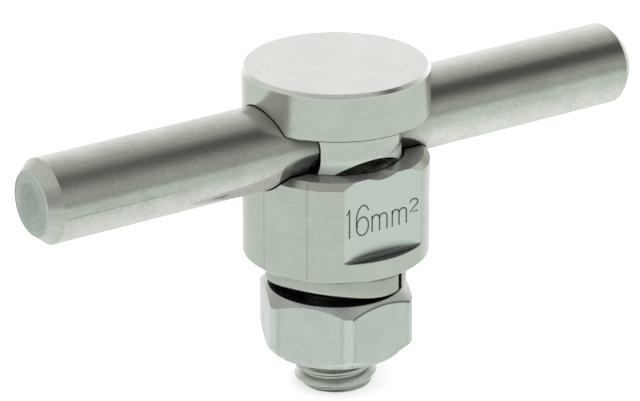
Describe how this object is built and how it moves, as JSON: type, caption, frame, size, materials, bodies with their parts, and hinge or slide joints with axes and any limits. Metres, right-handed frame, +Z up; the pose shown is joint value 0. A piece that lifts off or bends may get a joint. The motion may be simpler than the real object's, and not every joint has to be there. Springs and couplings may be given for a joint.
{
  "type": "cross cable connector",
  "caption": "Stainless cross clamp: a bored clamp bolt grips a round rod, and a nut draws a grooved collar up so that a cable can be clamped across under the rod.",
  "frame": {"origin": "centre of the stud's end face, which the connector stands on", "axes": "+Z up along the bolt from the stud to the head, +X along the rod, -Y out of the marked spanner flat and along the cable passage"},
  "size_m": [0.082, 0.022, 0.0403],
  "materials": {
    "turned_steel": "fine turned stainless steel, satin",
    "satin_steel": "turned and tumbled stainless steel, satin",
    "spring_steel": "tumbled stainless spring steel, bowed",
    "nut_steel": "cold formed stainless steel, satin",
    "drawn_steel": "drawn stainless steel rod with fine lengthwise lines"
  },
  "bodies": {
    "bolt": {"clamp_bolt": "turned_steel"},
    "rod": {"conductor_rod": "drawn_steel"},
    "collar": {"clamp_collar": "satin_steel", "spring_washer": "spring_steel"},
    "nut": {"hex_nut": "nut_steel"}
  },
  "joints": [
    {"name": "rod_slide", "type": "slide", "parent": "bolt", "child": "rod", "axis": [1, 0, 0], "range_m": [-0.03, 0.03]},
    {"name": "collar_slide", "type": "slide", "parent": "bolt", "child": "collar", "axis": [0, 0, -1], "range_m": [0, 0.007]},
    {"name": "nut_turn", "type": "hinge", "parent": "collar", "child": "nut", "pos_m": [0, 0, 0.0088], "axis": [0, 0, -1], "range_deg": [0, 1680]}
  ],
  "couplings": [
    {"joint": "nut_turn", "follows": "collar_slide", "rad_per_m": 4188.8}
  ]
}
